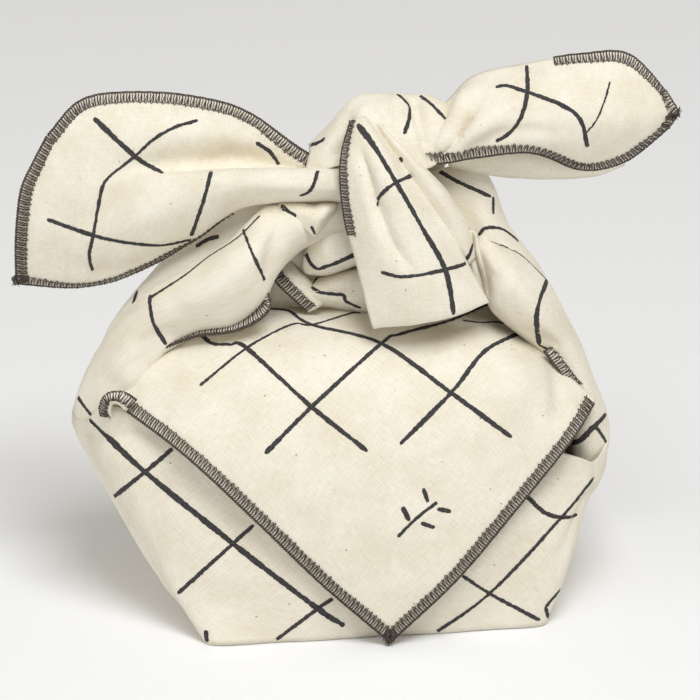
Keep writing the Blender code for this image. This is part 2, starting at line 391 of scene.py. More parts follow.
rightEnd = {
    "net": [
        [(10, 0, 222), (10, -10, 216), (10, -14, 210), (10, -15, 206), (10, -14, 204)],
        [(31, 2, 226), (33, -11, 223), (32, -19, 216), (29, -20, 212), (27, -18, 207.5)],
        [(47, 4, 240), (46, -10, 235), (49, -20, 226), (49, -20, 218), (50, -19, 211.5)],
        [(70, 5, 245.5), (70, -8, 240), (71, -18, 231.5), (72, -18, 220.5), (72, -13, 211.2)],
        [(92, 3, 250), (93, -7, 242.5), (94, -14, 231), (94, -13, 215.5), (94, -3, 199.5)],
        [(113, 1, 251), (115, -6, 242), (116, -10, 230.5), (114.5, -9, 218), (113.5, -4, 204)],
        [(129, 0, 234.5), (132, -3, 230.5), (134.5, -4, 226.5), (133, -4, 223), (131, -3, 219)],
    ],
    "facet": 1.4,
    "flat": [(500, 200), (400, 200), (500, 0), (450, 0)],
    "folds": [
        ([(0.7, 3.8), (1.2, 2.6), (1.6, 1.7), (2.3, 0.8)], 2.4, -6.5),
        ([(0.9, 1.9), (1.4, 1.2), (2.0, 0.3)], 4, 3.5),
        ([(0.8, 2.9), (1.6, 2.3), (2.4, 1.8), (3.2, 1.4)], 4, 2.4),
        ([(1.6, 3.1), (2.6, 2.7), (3.8, 2.6)], 4, -2.0),
        ([(1.9, 1.9), (2.8, 1.9), (3.8, 2.2)], 3.5, -1.6),
        ([(4.0, 2.0), (5.0, 2.6), (5.8, 3.0)], 7, 1.5),
    ],
}

# the same end's other layer, which shows below its lower seam
rightEndUnder = {
    "onBoard": True,
    "net": [
        [(34, 196, -6), (35, 190, -8), (36, 184, -4)],
        [(52, 194, -2), (52, 188, -5), (51, 180, -1)],
        [(76, 194, -1), (76, 186, -4), (76, 178.5, 0)],
        [(98, 190, 0), (98, 184, -3), (98, 179.5, 0)],
        [(112, 188, 2), (112, 186, 0), (112, 184, 2)],
    ],
    "flat": [(500, 240), (440, 240), (500, 330), (440, 330)],
}

# the front fold of the left corner, which rolls under along its lower border
leftFold = {
    "onBoard": True,
    "net": [
        [(-97, 70, -28), (-103, 68, -32), (-112, 64, -30), (-121, 62, -18), (-123, 62, 0)],
        [(-99, 83, -28), (-105, 81, -33), (-114, 78, -30), (-124.5, 76, -18), (-127, 77, 0)],
        [(-95, 89, -27), (-100, 90, -32), (-111, 91, -29), (-124, 86, -14), (-123, 86, 4)],
        [(-90, 96, -21), (-93, 98.5, -27), (-105, 103, -26), (-117, 102.5, -11), (-115, 102, 4)],
        [(-84, 104, -18), (-86, 106.5, -25), (-95, 114, -26), (-105, 118.5, -10), (-103, 117, 4)],
        [(-71, 109, -14), (-73, 113, -23), (-83, 121, -29), (-94, 128, -17), (-92, 127, 0)],
        [(-56, 112, -14), (-57, 116, -27), (-67, 130, -33), (-73, 141, -19), (-72, 140, 0)],
        [(-45, 121, -16), (-45, 127, -30), (-52, 143, -34), (-57, 152.5, -18), (-56, 151, -2)],
        [(-38, 136, -16), (-36, 141, -26), (-40, 154, -30), (-45, 164, -16), (-44, 163, -2)],
        [(-27, 148, -8), (-24, 152, -18), (-27, 161, -20), (-33, 168, -12), (-32, 167, 0)],
        [(-8, 156, -4), (-8, 158, -14), (-8, 163, -16), (-8, 168, -12), (-8, 168, 0)],
    ],
    "facet": 1.5,
    "flat": [(0, 180), (100, 300), (0, 300), (120, 420)],
    "folds": [
        ([(7.2, 1.0), (7.9, 1.7), (8.6, 2.7)], 5, -3.0),
        ([(5.2, 2.0), (6.2, 2.1), (7.2, 2.5)], 7, 1.8),
        ([(3.2, 1.9), (4.0, 1.5), (4.8, 1.2)], 5, -1.6),
        ([(2.0, 1.3), (2.2, 2.3), (2.1, 3.0)], 6, -1.8),
    ],
}

# its seam, which turns out from under the roll
leftHem = {
    "onBoard": True,
    "net": [
        [(-86, 105.5, -25), (-84, 107, -22), (-82, 109, -17)],
        [(-72, 110.5, -25), (-71, 112.5, -22), (-70, 115, -16)],
        [(-58, 112.5, -28), (-58, 115, -25), (-58, 118, -18)],
        [(-47, 117, -30), (-49, 119.5, -27), (-51, 122, -19)],
        [(-41, 123, -29), (-44, 125, -27), (-47, 127, -19)],
        [(-42.5, 131, -25), (-46, 131, -24), (-49, 131, -18)],
    ],
    "facet": 1.4,
    "flat": [(0, 150), (12, 150), (0, 210), (12, 210)],
}

# the small fold that hangs where the left corner enters the knot
leftPinch = {
    "onBoard": True,
    "net": [
        [(-36, 169, -12), (-37, 166, -17), (-33, 162, -19)],
        [(-28, 168, -14), (-28, 164, -21), (-27, 158, -21)],
        [(-22, 166.5, -15), (-22, 162, -24), (-22, 153.5, -22)],
        [(-17, 168, -14), (-17.5, 163, -24), (-20, 155, -20)],
        [(-12, 169, -10), (-13, 165, -18), (-15, 160, -12)],
    ],
    "facet": 1.2,
    "flat": [(110, 300), (110, 280), (140, 300), (140, 280)],
}

# what lies in the hollow to the left of the band: an upper sheet, a roll under it and the cloth behind
underKnot = {
    "onBoard": True,
    "net": [
        [(-20, 167, -2), (-13, 168, -4), (-4, 169, -6), (6, 168, -8)],
        [(-22, 156, -5), (-14, 157, -11), (-5, 157, -13), (6, 156, -11)],
        [(-27, 144, -8), (-18, 145, -15), (-6, 147, -17), (6, 147, -14)],
        [(-26, 138, -6), (-17, 139, -14), (-5, 143, -16), (6, 144, -12)],
        [(-22, 136, 4), (-14, 137, -2), (-4, 141, -4), (6, 142, -2)],
    ],
    "facet": 1.6,
    "flat": [(300, 300), (340, 300), (300, 260), (340, 260)],
    "folds": [([(0.6, 1.0), (1.6, 1.1), (2.6, 1.3)], 3, 1.5)],
}

lowerRoll = {
    "onBoard": True,
    "net": [
        [(-32, 134, 4), (-20, 137, 2), (-8, 140, 0), (6, 142, 0)],
        [(-30, 130, -5), (-18, 133, -9), (-7, 136, -11), (6, 138, -9)],
        [(-28, 127, -7), (-17, 128, -12), (-6, 129, -14), (6, 130, -11)],
        [(-26, 124, -3), (-15, 124.5, -8), (-4, 123, -10), (6, 123, -7)],
        [(-26, 123, 4), (-15, 122, 1), (-4, 119, 1), (6, 119, 1)],
    ],
    "facet": 1.6,
    "flat": [(300, 260), (340, 260), (300, 230), (340, 230)],
    "folds": [([(1.4, 0.6), (2.0, 1.6), (1.6, 2.6)], 3, -2.0)],
}

innerCloth = {
    "onBoard": True,
    "net": [
        [(-58, 112, 4), (-36, 114, 2), (-14, 115, 2), (8, 115, 0)],
        [(-52, 132, 2), (-34, 134, -1), (-14, 135, 0), (8, 136, 0)],
        [(-44, 150, 0), (-30, 152, -2), (-12, 152, -3), (8, 153, -2)],
        [(-34, 167, 0), (-24, 168, -2), (-10, 169, -4), (8, 170, -4)],
    ],
    "facet": 3,
    "flat": [(200, 200), (260, 200), (200, 260), (260, 260)],
}

innerHem = {
    "onBoard": True,
    "net": [
        [(-43, 141, -4), (-38, 143, -4), (-34, 146, 0)],
        [(-38.5, 134, -8), (-33, 137, -8), (-29, 140, -3)],
        [(-32, 127.5, -10), (-27, 131, -10), (-24, 135, -5)],
        [(-24.5, 121, -10), (-20, 123, -11), (-16, 126, -6)],
    ],
    "facet": 1.4,
    "flat": [(0, 90), (12, 90), (0, 120), (12, 120)],
}

# the front fold of the right corner, gathered where it meets the band
rightFold = {
    "onBoard": True,
    "net": [
        [(46, 150, -8), (48, 152, -13), (50.5, 154, -14), (53, 156, -8), (54, 155, 2)],
        [(47, 144, -12), (51, 146, -20), (56, 149, -20), (61, 151, -8), (61, 150, 4)],
        [(52, 134, -14), (55, 136, -24), (63, 140, -24), (71, 143, -8), (71, 141, 6)],
        [(54, 124, -13), (57, 127, -24), (68, 131, -26), (79, 134, -7), (79, 132, 8)],
        [(61, 116, -12), (64, 118, -21), (76, 120, -23), (87, 120, -5), (86, 118, 10)],
        [(73, 106, -10), (76, 107.5, -18), (86, 107, -19), (94, 107, -3), (93, 106, 12)],
        [(86, 92, -8), (88, 93, -16), (94, 92, -17), (99.5, 91.5, -4), (99, 90, 12)],
        [(90, 80, -8), (93, 80, -18), (100, 79, -18), (104.5, 78.5, -5), (103, 78, 10)],
        [(88, 68, -8), (91, 68, -19), (99, 68, -20), (106, 68, -7), (104, 68, 8)],
        [(88, 58, -8), (91, 57, -19), (98, 57.5, -21), (104.5, 60, -12), (104.5, 61, 0)],
        [(86, 47, -10), (90, 46, -20), (95, 46, -21), (99, 49, -14), (100, 51, 0)],
    ],
    "facet": 1.6,
    "flat": [(180, 0), (240, 0), (180, 120), (300, 120)],
    "folds": [
        ([(0.1, 2.2), (1.0, 2.5), (2.0, 3.0)], 2.2, -1.6),
        ([(0.1, 1.2), (1.2, 1.3), (2.4, 1.5)], 2.6, 1.5),
        ([(4.3, 1.0), (5.2, 1.9), (6.3, 2.0)], 4.5, -2.2),
    ],
}

# two small pleats between the band and that fold
rightPleats = {
    "onBoard": True,
    "net": [
        [(38, 152, -8), (42, 154, -18), (46, 156, -17), (48, 153, -20), (51, 152, -8)],
        [(40, 146, -10), (44, 147, -21), (47, 147, -17), (49, 146, -21), (52, 145, -10)],
        [(43, 137, -10), (47, 137, -21), (50, 137, -16), (52, 136, -20), (55, 136, -10)],
        [(45, 125, -8), (50, 126, -18), (52, 126, -13), (55, 125, -16), (58, 125, -8)],
    ],
    "facet": 1.2,
    "flat": [(180, 20), (200, 20), (180, 60), (200, 60)],
}

# its seam and the pinched corner of the flap beside it
rightHem = {
    "onBoard": True,
    "net": [
        [(77.5, 104, -20), (80, 105.5, -18), (83, 107, -12)],
        [(82, 98, -20), (85.5, 100, -19), (88, 102, -12)],
        [(87, 91.5, -20), (90, 93.5, -19), (93, 96, -12)],
        [(92, 86.5, -21), (94, 88, -19), (97, 90, -12)],
    ],
    "facet": 1.2,
    "flat": [(0, 60), (12, 60), (0, 90), (12, 90)],
}

# the outer pleat that runs down behind the band's right edge
bandPleat = {
    "onBoard": True,
    "net": [
        [(2, 203, -10), (6, 201, -18), (9, 200, -14), (10, 199, -4)],
        [(10, 190, -22), (16, 190, -27), (21, 186, -20), (21, 186, -6)],
        [(18, 176, -26), (27, 177, -30), (33, 175, -22), (33, 174, -6)],
        [(26, 162, -26), (36, 163, -30), (41.5, 163, -22), (41, 162, -6)],
        [(35, 149, -26), (42, 151, -28), (46, 151, -21), (45, 150, -6)],
        [(43, 139, -24), (45, 142, -25), (47, 144, -20), (46, 143, -6)],
    ],
    "facet": 1.5,
    "flat": [(80, 380), (110, 380), (80, 480), (110, 480)],
}

stretches = {
    "hangingCorner": hangingCorner, "cornerCurl": cornerCurl, "walls": walls, "backTop": backTop,
    "leftWing": leftWing, "rightWing": rightWing, "band": band, "crown": crown,
    "leftEnd": leftEnd, "rightEnd": rightEnd,
    "rightEndUnder": rightEndUnder, "leftFold": leftFold, "leftHem": leftHem, "leftPinch": leftPinch,
    "underKnot": underKnot, "lowerRoll": lowerRoll, "innerCloth": innerCloth, "innerHem": innerHem,
    "rightFold": rightFold, "rightPleats": rightPleats, "rightHem": rightHem, "bandPleat": bandPleat,
}
sheets = {name: Sheet(name, piece) for name, piece in stretches.items()}
print("sheets shaped:", ", ".join(sheets))


# ---- materials

class Value:
    # a socket that takes part in plain arithmetic
    def __init__(self, tree, socket):
        self.tree = tree
        self.socket = socket

    def maths(self, operation, *others):
        node = self.tree.nodes.new("ShaderNodeMath")
        node.operation = operation
        for slot, item in zip(node.inputs, (self,) + others):
            if isinstance(item, Value):
                self.tree.links.new(item.socket, slot)
            else:
                slot.default_value = item
        return Value(self.tree, node.outputs[0])

    def flipped(self, operation, other):
        node = self.tree.nodes.new("ShaderNodeMath")
        node.operation = operation
        node.inputs[0].default_value = other
        self.tree.links.new(self.socket, node.inputs[1])
        return Value(self.tree, node.outputs[0])

    def __add__(self, other):
        return self.maths("ADD", other)

    def __sub__(self, other):
        return self.maths("SUBTRACT", other)

    def __mul__(self, other):
        return self.maths("MULTIPLY", other)

    def __truediv__(self, other):
        return self.maths("DIVIDE", other)

    def __rsub__(self, other):
        return self.flipped("SUBTRACT", other)

    __radd__ = __add__
    __rmul__ = __mul__


class Finish:
    # a material and its shader, with one way to add any other node
    def __init__(self, name, **constants):
        self.material = bpy.data.materials.new(name)
        self.material.use_nodes = True
        self.tree = self.material.node_tree
        self.shader = self.tree.nodes["Principled BSDF"]
        for socket, value in constants.items():
            self.shader.inputs[socket.replace("_", " ")].default_value = value

    def node(self, kind, settings=None, output=0, **inputs):
        made = self.tree.nodes.new("ShaderNode" + kind)
        for setting, value in (settings or {}).items():
            setattr(made, setting, value)
        for socket, value in inputs.items():
            byNumber = socket.startswith("n")
            slot = made.inputs[int(socket[1:]) if byNumber else socket.replace("_", " ")]
            if isinstance(value, Value):
                self.tree.links.new(value.socket, slot)
            else:
                slot.default_value = value
        return Value(self.tree, made.outputs[output])

    def feed(self, socket, value):
        self.tree.links.new(value.socket, self.shader.inputs[socket])


cotton = {
    "cream": (0.900, 0.858, 0.750, 1),
    "shade": (0.775, 0.700, 0.545, 1),
    "fleck": (0.22, 0.12, 0.05, 1),
}


def makeCotton():
    finish = Finish("cotton", Roughness=0.92, Sheen_Weight=0.15, Sheen_Roughness=0.5)
    flat = finish.node("UVMap", {"uv_map": "flat"})
    slubsAcross = finish.node("TexNoise", Vector=finish.node(
        "Mapping", Vector=flat, Scale=(1500, 170, 1)), Scale=1.0, Detail=2.0)
    slubsUp = finish.node("TexNoise", Vector=finish.node(
        "Mapping", Vector=flat, Scale=(170, 1500, 1)), Scale=1.0, Detail=2.0)
    slubs = (slubsAcross + slubsUp) * 0.5
    blotch = finish.node("TexNoise", Vector=flat, Scale=45.0, Detail=3.0)
    tone = finish.node("ValToRGB", n0=(slubs * 0.6 + blotch * 0.4))
    ramp = tone.socket.node.color_ramp
    ramp.elements[0].position = 0.36
    ramp.elements[0].color = cotton["shade"]
    ramp.elements[1].position = 0.60
    ramp.elements[1].color = cotton["cream"]
    cells = finish.node("TexVoronoi", {"feature": "F1"}, output=0, Vector=flat, Scale=150.0)
    pick = finish.node("TexNoise", Vector=flat, Scale=70.0, Detail=0.0)
    fleck = cells.maths("LESS_THAN", 0.065) * pick.maths("GREATER_THAN", 0.53)
    colour = finish.node("Mix", {"data_type": "RGBA"}, output=2,
                         n0=fleck * 0.7, n6=tone, n7=cotton["fleck"])
    finish.feed("Base Color", colour)
    finish.feed("Normal", finish.node("Bump", Strength=0.8, Distance=0.0004, Height=slubs))
    return finish.material


def makeInk():
    finish = Finish("lineInk", Roughness=0.85)
    flat = finish.node("TexCoord", output=3)
    mottle = finish.node("TexNoise", Vector=flat, Scale=1400.0, Detail=2.0)
    tone = finish.node("ValToRGB", n0=mottle)
    ramp = tone.socket.node.color_ramp
    ramp.elements[0].position = 0.35
    ramp.elements[0].color = (0.022, 0.021, 0.024, 1)
    ramp.elements[1].position = 0.75
    ramp.elements[1].color = (0.075, 0.070, 0.070, 1)
    finish.feed("Base Color", tone)
    finish.feed("Normal", finish.node("Bump", Strength=0.5, Distance=0.0002, Height=mottle))
    return finish.material


def makeThread():
    finish = Finish("overlockThread", Roughness=0.7, Sheen_Weight=0.2)
    place = finish.node("TexCoord", output=3)
    twist = finish.node("TexNoise", Vector=place, Scale=2200.0, Detail=1.0)
    tone = finish.node("ValToRGB", n0=twist)
    ramp = tone.socket.node.color_ramp
    ramp.elements[0].position = 0.3
    ramp.elements[0].color = (0.030, 0.019, 0.015, 1)
    ramp.elements[1].position = 0.8
    ramp.elements[1].color = (0.115, 0.078, 0.060, 1)
    finish.feed("Base Color", tone)
    finish.feed("Normal", finish.node("Bump", Strength=0.6, Distance=0.0001, Height=twist))
    return finish.material


# ---- lines brushed on the cloth

brush = {
    "lift": 0.12,           # above the cloth's face
    "spacing": 0.8,
    "ragged": 0.16,
}


def smoothRoute(points, spacing):
    line = [Vector(point) for point in points]
    route = []
    for span in range(len(line) - 1):
        steps = max(2, math.ceil((line[span + 1] - line[span]).length / spacing))
        route += [curvePoint(line, span + k / steps) for k in range(steps)]
    return route + [line[-1]]


def brushSpots(ink, sheet, spots, width):
    # a ribbon of ink along (place, facing) spots; None where the line leaves the sheet
    lift = (cloth["thickness"] / 2 + brush["lift"]) * mm
    rung = None
    for k, spot in enumerate(spots):
        ahead = spots[min(k + 1, len(spots) - 1)]
        behind = spots[max(k - 1, 0)]
        if not (spot and ahead and behind) or (ahead[0] - behind[0]).length > 8 * brush["spacing"] * mm:
            rung = None
            continue
        side = (ahead[0] - behind[0]).cross(spot[1]).normalized()
        grain = noise.noise(spot[0] / mm / 2.5) * 0.22 + noise.noise(spot[0] / mm / 14) * 0.25
        half = 0.5 * width * (1 + grain) * mm
        end = min(k, len(spots) - 1 - k) * brush["spacing"]
        half *= min(1, 0.55 + end / 2)
        newRung = []
        for share in (-1, -0.4, 0.4, 1):
            wobble = random.uniform(-1, 1) * brush["ragged"] * mm if abs(share) == 1 else 0
            edge, normal = sheet.near(spot[0] + side * (share * half + wobble))
            if normal.dot(spot[1]) < 0:
                normal = -normal
            newRung.append(ink.verts.new(edge + normal * lift))
        if rung:
            for a, b, c, d in zip(rung, rung[1:], newRung[1:], newRung):
                ink.faces.new((a, b, c, d))
        rung = newRung


def brushOnBoard(ink, sheet, points, width):
    route = smoothRoute([(x, y, 0) for x, y in points], brush["spacing"])
    brushSpots(ink, sheet, [sheet.onBoard(point.x, point.y) for point in route], width)


def brushAlongNet(ink, sheet, points, width):
    # points are (row, column) on the sheet's net
    places = [netPoint(sheet.net, row, column, sheet.closed) for row, column in points]
    route = smoothRoute(places, brush["spacing"])
    brushSpots(ink, sheet, [sheet.near(place * mm) for place in route], width)


lines = {
    "hangingCorner": [
        ([(1, 61), (-23, 80), (-51, 105), (-58, 106.5), (-66, 107), (-71, 111)], 1.9),
        ([(63, 67), (37, 86), (7, 107), (-23, 115), (-33, 121), (-42, 122)], 1.9),
        ([(74, 107), (68, 112), (59, 116), (50, 116), (42, 117)], 1.3),
        ([(15, 64), (37, 86), (48, 100), (55, 106), (68, 112)], 1.9),
        ([(-43, 60), (-23, 80), (7, 107), (15, 111), (37, 117), (55, 125)], 1.8),
        ([(-71, 89), (-51, 105), (-32, 115), (-23, 115), (-6, 120), (-2, 120)], 1.4),
        ([(14, 24), (22, 32), (31, 39)], 1.5),
        ([(19, 31), (16, 37)], 1.9),
        ([(24, 30), (30, 28)], 1.9),
        ([(27, 39), (25, 45)], 1.9),
        ([(31, 36), (37, 35)], 1.9),
    ],
    "walls": [
        ([(-119, 74.5), (-95, 52), (-57, 21), (-21, -7), (-9, -15)], 2.4),
        ([(-83, 62), (-95, 52), (-111, 39)], 1.8),
        ([(-48, 29), (-57, 21), (-81, -1)], 1.8),
        ([(-14, -3), (-20, -7), (-41, -23)], 1.7),
        ([(25, -22), (54, -1), (85, 32), (99, 49)], 1.6),
        ([(42, 7), (54, -1), (76, -13)], 1.7),
        ([(70, 41), (78, 34), (86, 32), (92, 33)], 1.8),
        ([(-69, -17), (-68.3, -22)], 2.0),
        ([(78.5, -7), (86, 2)], 1.8),
        ([(78.3, -7), (79.6, -12)], 1.6),
    ],
    "leftWing": [
        ([(-73, 149), (-68, 152), (-63, 153.5)], 1.9),
        ([(-100.5, 123.5), (-98.5, 130)], 1.9),
    ],
    "leftFold": [
        ([(-93, 126.5), (-78, 136), (-67, 144.5), (-57, 150.8), (-52, 154.8), (-45, 162)], 1.3),
        ([(-92.5, 128), (-92.5, 124.4), (-91, 116), (-86, 107)], 1.9),
        ([(-52.5, 158), (-51.8, 155), (-48.4, 146), (-43.5, 134.5)], 1.3),
        ([(-125, 85), (-122, 81), (-118, 76)], 1.6),
    ],
    "leftPinch": [
        ([(-36, 166.5), (-33, 164), (-29.5, 162)], 2.0),
        ([(-23, 158), (-21.5, 154.5)], 1.4),
    ],
    "underKnot": [
        ([(-25.8, 147.5), (-23.5, 142.5), (-20.3, 139.5)], 2.1),
        ([(-20.3, 139.5), (-12, 142.5), (-5, 145.5), (0, 148)], 1.8),
    ],
    "lowerRoll": [
        ([(-20, 136), (-23, 132.5), (-26, 131), (-30, 130.5)], 1.6),
        ([(-23, 131.5), (-19, 129.4), (-9.5, 128.4), (-8.3, 126), (-2, 123)], 1.6),
    ],
    "band": [
        ([(-3, 201), (4, 191), (13, 176), (24, 157), (34, 139), (38, 120)], 2.5),
        ([(5, 166), (7, 171), (13, 176), (22, 180)], 1.6),
        ([(7, 138), (17, 136), (34, 139), (45, 143), (46, 150)], 1.6),
    ],
    "bandPleat": [
        ([(16, 187), (13.5, 182.5)], 2.0),
        ([(46, 150), (44.5, 145.5), (42, 142)], 2.0),
    ],
    "crown": [
        ([(14, 214), (18.5, 209), (18.5, 203), (16.5, 197)], 1.8),
        ([(22, 215), (28, 210), (33, 205), (36.5, 201)], 1.5),
        ([(-25, 192.5), (-21, 193), (-17, 195)], 2.0),
    ],
    "leftEnd": [
        ([(-116.5, 204), (-99, 188), (-87, 180)], 2.1),
        ([(-72, 203), (-82, 200), (-91, 195), (-99, 188), (-111, 178), (-114, 170), (-117, 154),
         (-119, 146),
          (-118, 139)], 1.5),
        ([(-137, 161), (-117, 154), (-102, 151), (-88, 150), (-75, 152.5)], 1.9),
        ([(-66, 181), (-69, 170), (-75, 154)], 1.7),
        ([(-47, 194), (-41, 190), (-37, 184.5)], 1.8),
        ([(-19, 185), (-23, 174), (-28, 171)], 1.7),
    ],
    "rightEnd": [
        ([(69.5, 226.5), (69.5, 215), (66.5, 204), (61, 197), (56, 194)], 1.8),
        ([(56, 217), (61, 217.5), (70, 214.5), (84, 209.5), (92, 203.5), (95.5, 192)], 1.9),
        ([(105, 219.5), (102.5, 211), (99, 203), (95, 198)], 0.7),
    ],
    "rightWing": [
        ([(29, 183), (41, 176.5), (54, 170.5)], 1.6),
        ([(55, 170.5), (55, 163)], 1.6),
        ([(49, 154), (52, 157), (59, 156.5), (66, 151.5)], 1.4),
    ],
    "rightFold": [
        ([(54, 151), (66, 146), (78, 135)], 0.7),
        ([(78.5, 134.5), (75, 126), (74, 118), (75.5, 107)], 2.2),
        ([(75.5, 107), (80, 104.5), (85, 101)], 1.2),
        ([(88, 64.5), (93, 65), (97, 69), (99.6, 71.8), (104.5, 76.5)], 2.3),
        ([(99.6, 71.8), (103, 67), (105.3, 63)], 1.7),
    ],
}

# the same lines where they come round to the back, as (row, column) on each net
backLines = {
    "walls": [
        ([(0.3, 6.4), (1.6, 7.2), (2.9, 8.0), (3.95, 8.7)], 1.9),
        ([(0.3, 8.3), (1.6, 9.1), (2.9, 9.9), (3.95, 10.5)], 1.9),
        ([(0.3, 10.3), (1.6, 11.0), (2.9, 11.9), (3.9, 12.7)], 1.8),
        ([(3.95, 6.5), (2.7, 7.3), (1.4, 8.2), (0.3, 8.9)], 1.8),
        ([(3.95, 8.5), (2.7, 9.2), (1.4, 10.0), (0.3, 10.8)], 1.9),
        ([(3.95, 10.4), (2.7, 11.1), (1.4, 12.2), (0.4, 13.2)], 1.8),
        ([(2.6, 4.9), (1.8, 5.6), (0.8, 6.4)], 1.7),
    ],
    "backTop": [
        ([(0.2, 0.6), (1.0, 1.2), (1.8, 1.9)], 1.8),
        ([(0.2, 2.3), (1.0, 2.9), (1.6, 3.4)], 1.8),
        ([(0.2, 3.0), (1.0, 2.2), (1.8, 1.2)], 1.8),
    ],
    "leftWing": [
        ([(0.4, 3.6), (1.3, 3.3), (2.4, 3.2), (3.4, 3.0)], 1.8),
        ([(1.0, 2.6), (1.5, 3.2), (2.0, 3.9)], 1.7),
        ([(2.6, 2.5), (3.0, 3.1), (3.3, 3.8)], 1.7),
    ],
    "rightWing": [
        ([(0.5, 3.4), (1.5, 3.2), (2.5, 3.0), (3.5, 2.8)], 1.8),
        ([(1.2, 2.5), (1.6, 3.1), (2.0, 3.9)], 1.7),
        ([(2.8, 2.5), (3.1, 3.1), (3.4, 3.8)], 1.7),
    ],
    "crown": [
        ([(0.8, 2.2), (1.8, 2.7), (3.0, 3.2), (4.4, 3.6)], 1.8),
        ([(4.3, 2.2), (3.4, 2.7), (2.2, 3.3), (1.0, 3.7)], 1.8),
    ],
}


def makeLines():
    ink = bmesh.new()
    for name, strokes in lines.items():
        for points, width in strokes:
            brushOnBoard(ink, sheets[name], points, width)
    for name, strokes in backLines.items():
        for points, width in strokes:
            brushAlongNet(ink, sheets[name], points, width)
    piece = finishPiece("brushedLines", ink, makeInk())
    print("lines brushed:", len(piece.data.polygons), "facets")
    return piece


# ---- the overlocked edge

overlock = {
    "pitch": 2.5,
    "reach": 4.9,           # how far the loops reach in from the edge
    "thread": 0.25,         # the thread's radius
    "cord": 0.50,           # and that of the two strands twisted along the edge
    "lift": 0.15,
}

# one loop: along the edge in pitches, in from the edge in reaches, and above (1) or below (-1) the cloth
stitch = [(0.00, -0.08, 0.0), (0.08, 0.25, 1.2), (0.12, 0.62, 1.2), (0.22, 0.92, 1.1), (0.42, 1.06, 1.0),
          (0.60, 0.90, 1.1), (0.66, 0.60, 1.3), (0.56, 0.28, 1.4), (0.48, -0.08, 0.0), (0.60, 0.30, -1.2),
          (0.72, 0.62, -1.2), (0.88, 0.30, -1.2)]


def threadCurve(name, runs, radius):
    curve = bpy.data.curves.new(name, "CURVE")
    curve.dimensions = "3D"
    curve.bevel_depth = radius * mm
    curve.bevel_resolution = 0
    for run in runs:
        spline = curve.splines.new("POLY")
        spline.points.add(len(run) - 1)
        for point, place in zip(spline.points, run):
            point.co = (*place, 1)
    piece = bpy.data.objects.new(name, curve)
    bpy.context.scene.collection.objects.link(piece)
    mesh = bpy.data.meshes.new_from_object(piece.evaluated_get(bpy.context.evaluated_depsgraph_get()))
    bpy.data.objects.remove(piece)
    return mesh


def borderRoute(sheet, start, end):
    # from one (row, column) on the sheet's border to another, walked along the net
    steps = 60
    route = []
    for k in range(steps + 1):
        t = k / steps
        row = start[0] + (end[0] - start[0]) * t
        column = start[1] + (end[1] - start[1]) * t
        route.append(netPoint(sheet.net, row, column, sheet.closed) * mm)
    return route


def edgeFrames(sheet, stretch, spacing):
    # evenly spaced points along a border, each with its way along, in and up
    route, hints = [], []
    middle = (sheet.rows / 2, sheet.columns / 2)
    for start, end in zip(stretch, stretch[1:]):
        route += borderRoute(sheet, start, end)
        inside = [(row + (middle[0] - row) * 0.12, column + (middle[1] - column) * 0.12)
                  for row, column in (start, end)]
        hints += borderRoute(sheet, *inside)
    spots = [sheet.near(point) for point in route]
    reached = [0]
    for a, b in zip(spots, spots[1:]):
        reached.append(reached[-1] + (b[0] - a[0]).length)
    count = max(2, int(reached[-1] / spacing))
    frames = []
    k = 0
    for n in range(count + 1):
        goal = reached[-1] * n / count
        while k < len(spots) - 2 and reached[k + 1] < goal:
            k += 1
        t = min(1, max(0, (goal - reached[k]) / max(reached[k + 1] - reached[k], 1e-9)))
        point = spots[k][0].lerp(spots[k + 1][0], t)
        normal = spots[k][1].lerp(spots[k + 1][1], t).normalized()
        before, after = spots[max(k - 2, 0)][0], spots[min(k + 3, len(spots) - 1)][0]
        along = (after - before).normalized()
        into = hints[k].lerp(hints[k + 1], t) - point
        into -= along * into.dot(along)
        into -= normal * into.dot(normal)
        frames.append((point, along, into.normalized(), normal))
    return frames


def sewEdge(sheet, stretch):
    pitch = overlock["pitch"] * mm
    reach = overlock["reach"] * mm
    lift = (cloth["thickness"] / 2 + overlock["lift"]) * mm
    loops, strands, crossing = [], [[], []], []
    frames = edgeFrames(sheet, stretch, pitch)
    for (point, along, into, normal), (following, *rest) in zip(frames, frames[1:]):
        wander = 1 + random.uniform(-0.07, 0.07)
        for t, w, h in stitch:
            here = point.lerp(following, t) + into * (w * wander * reach)
            spot, facing = sheet.near(here)
            if facing.dot(normal) < 0:
                facing = -facing
            outside = here - spot if w < 0 else Vector()
            loops.append(spot + outside + facing * (h * lift))
        for t, w in ((0, 0.05), (0.5, 0.92), (1.0, 1.0)):
            spot, facing = sheet.near(point.lerp(following, t) + into * (w * reach))
            if facing.dot(normal) < 0:
                facing = -facing
            crossing.append(spot + facing * (1.9 * lift))
        for t in (0, 0.25, 0.5, 0.75):
            here = point.lerp(following, t)
            for side, strand in zip((0, math.pi), strands):
                turn = t * 2 * math.pi + side
                sideways = into * (0.35 * math.cos(turn) + 0.1) * mm
                strand.append(here + sideways + normal * 0.5 * math.sin(turn) * mm)
    return [loops, crossing], strands


def tangle(middle, spread, turns):
    # loose thread ends bunched up at a corner, above whatever the bundle stands on
    places = [middle + Vector([random.gauss(0, spread) for axis in range(3)]) * mm
              for turn in range(turns)]
    return [Vector((place.x, place.y, max(place.z, 0.6 * mm))) for place in places]


tangles = {"hangingCorner": (10, -61, 3), "rightEnd": (134, -4, 226), "leftEnd": (-151, -4, 148)}


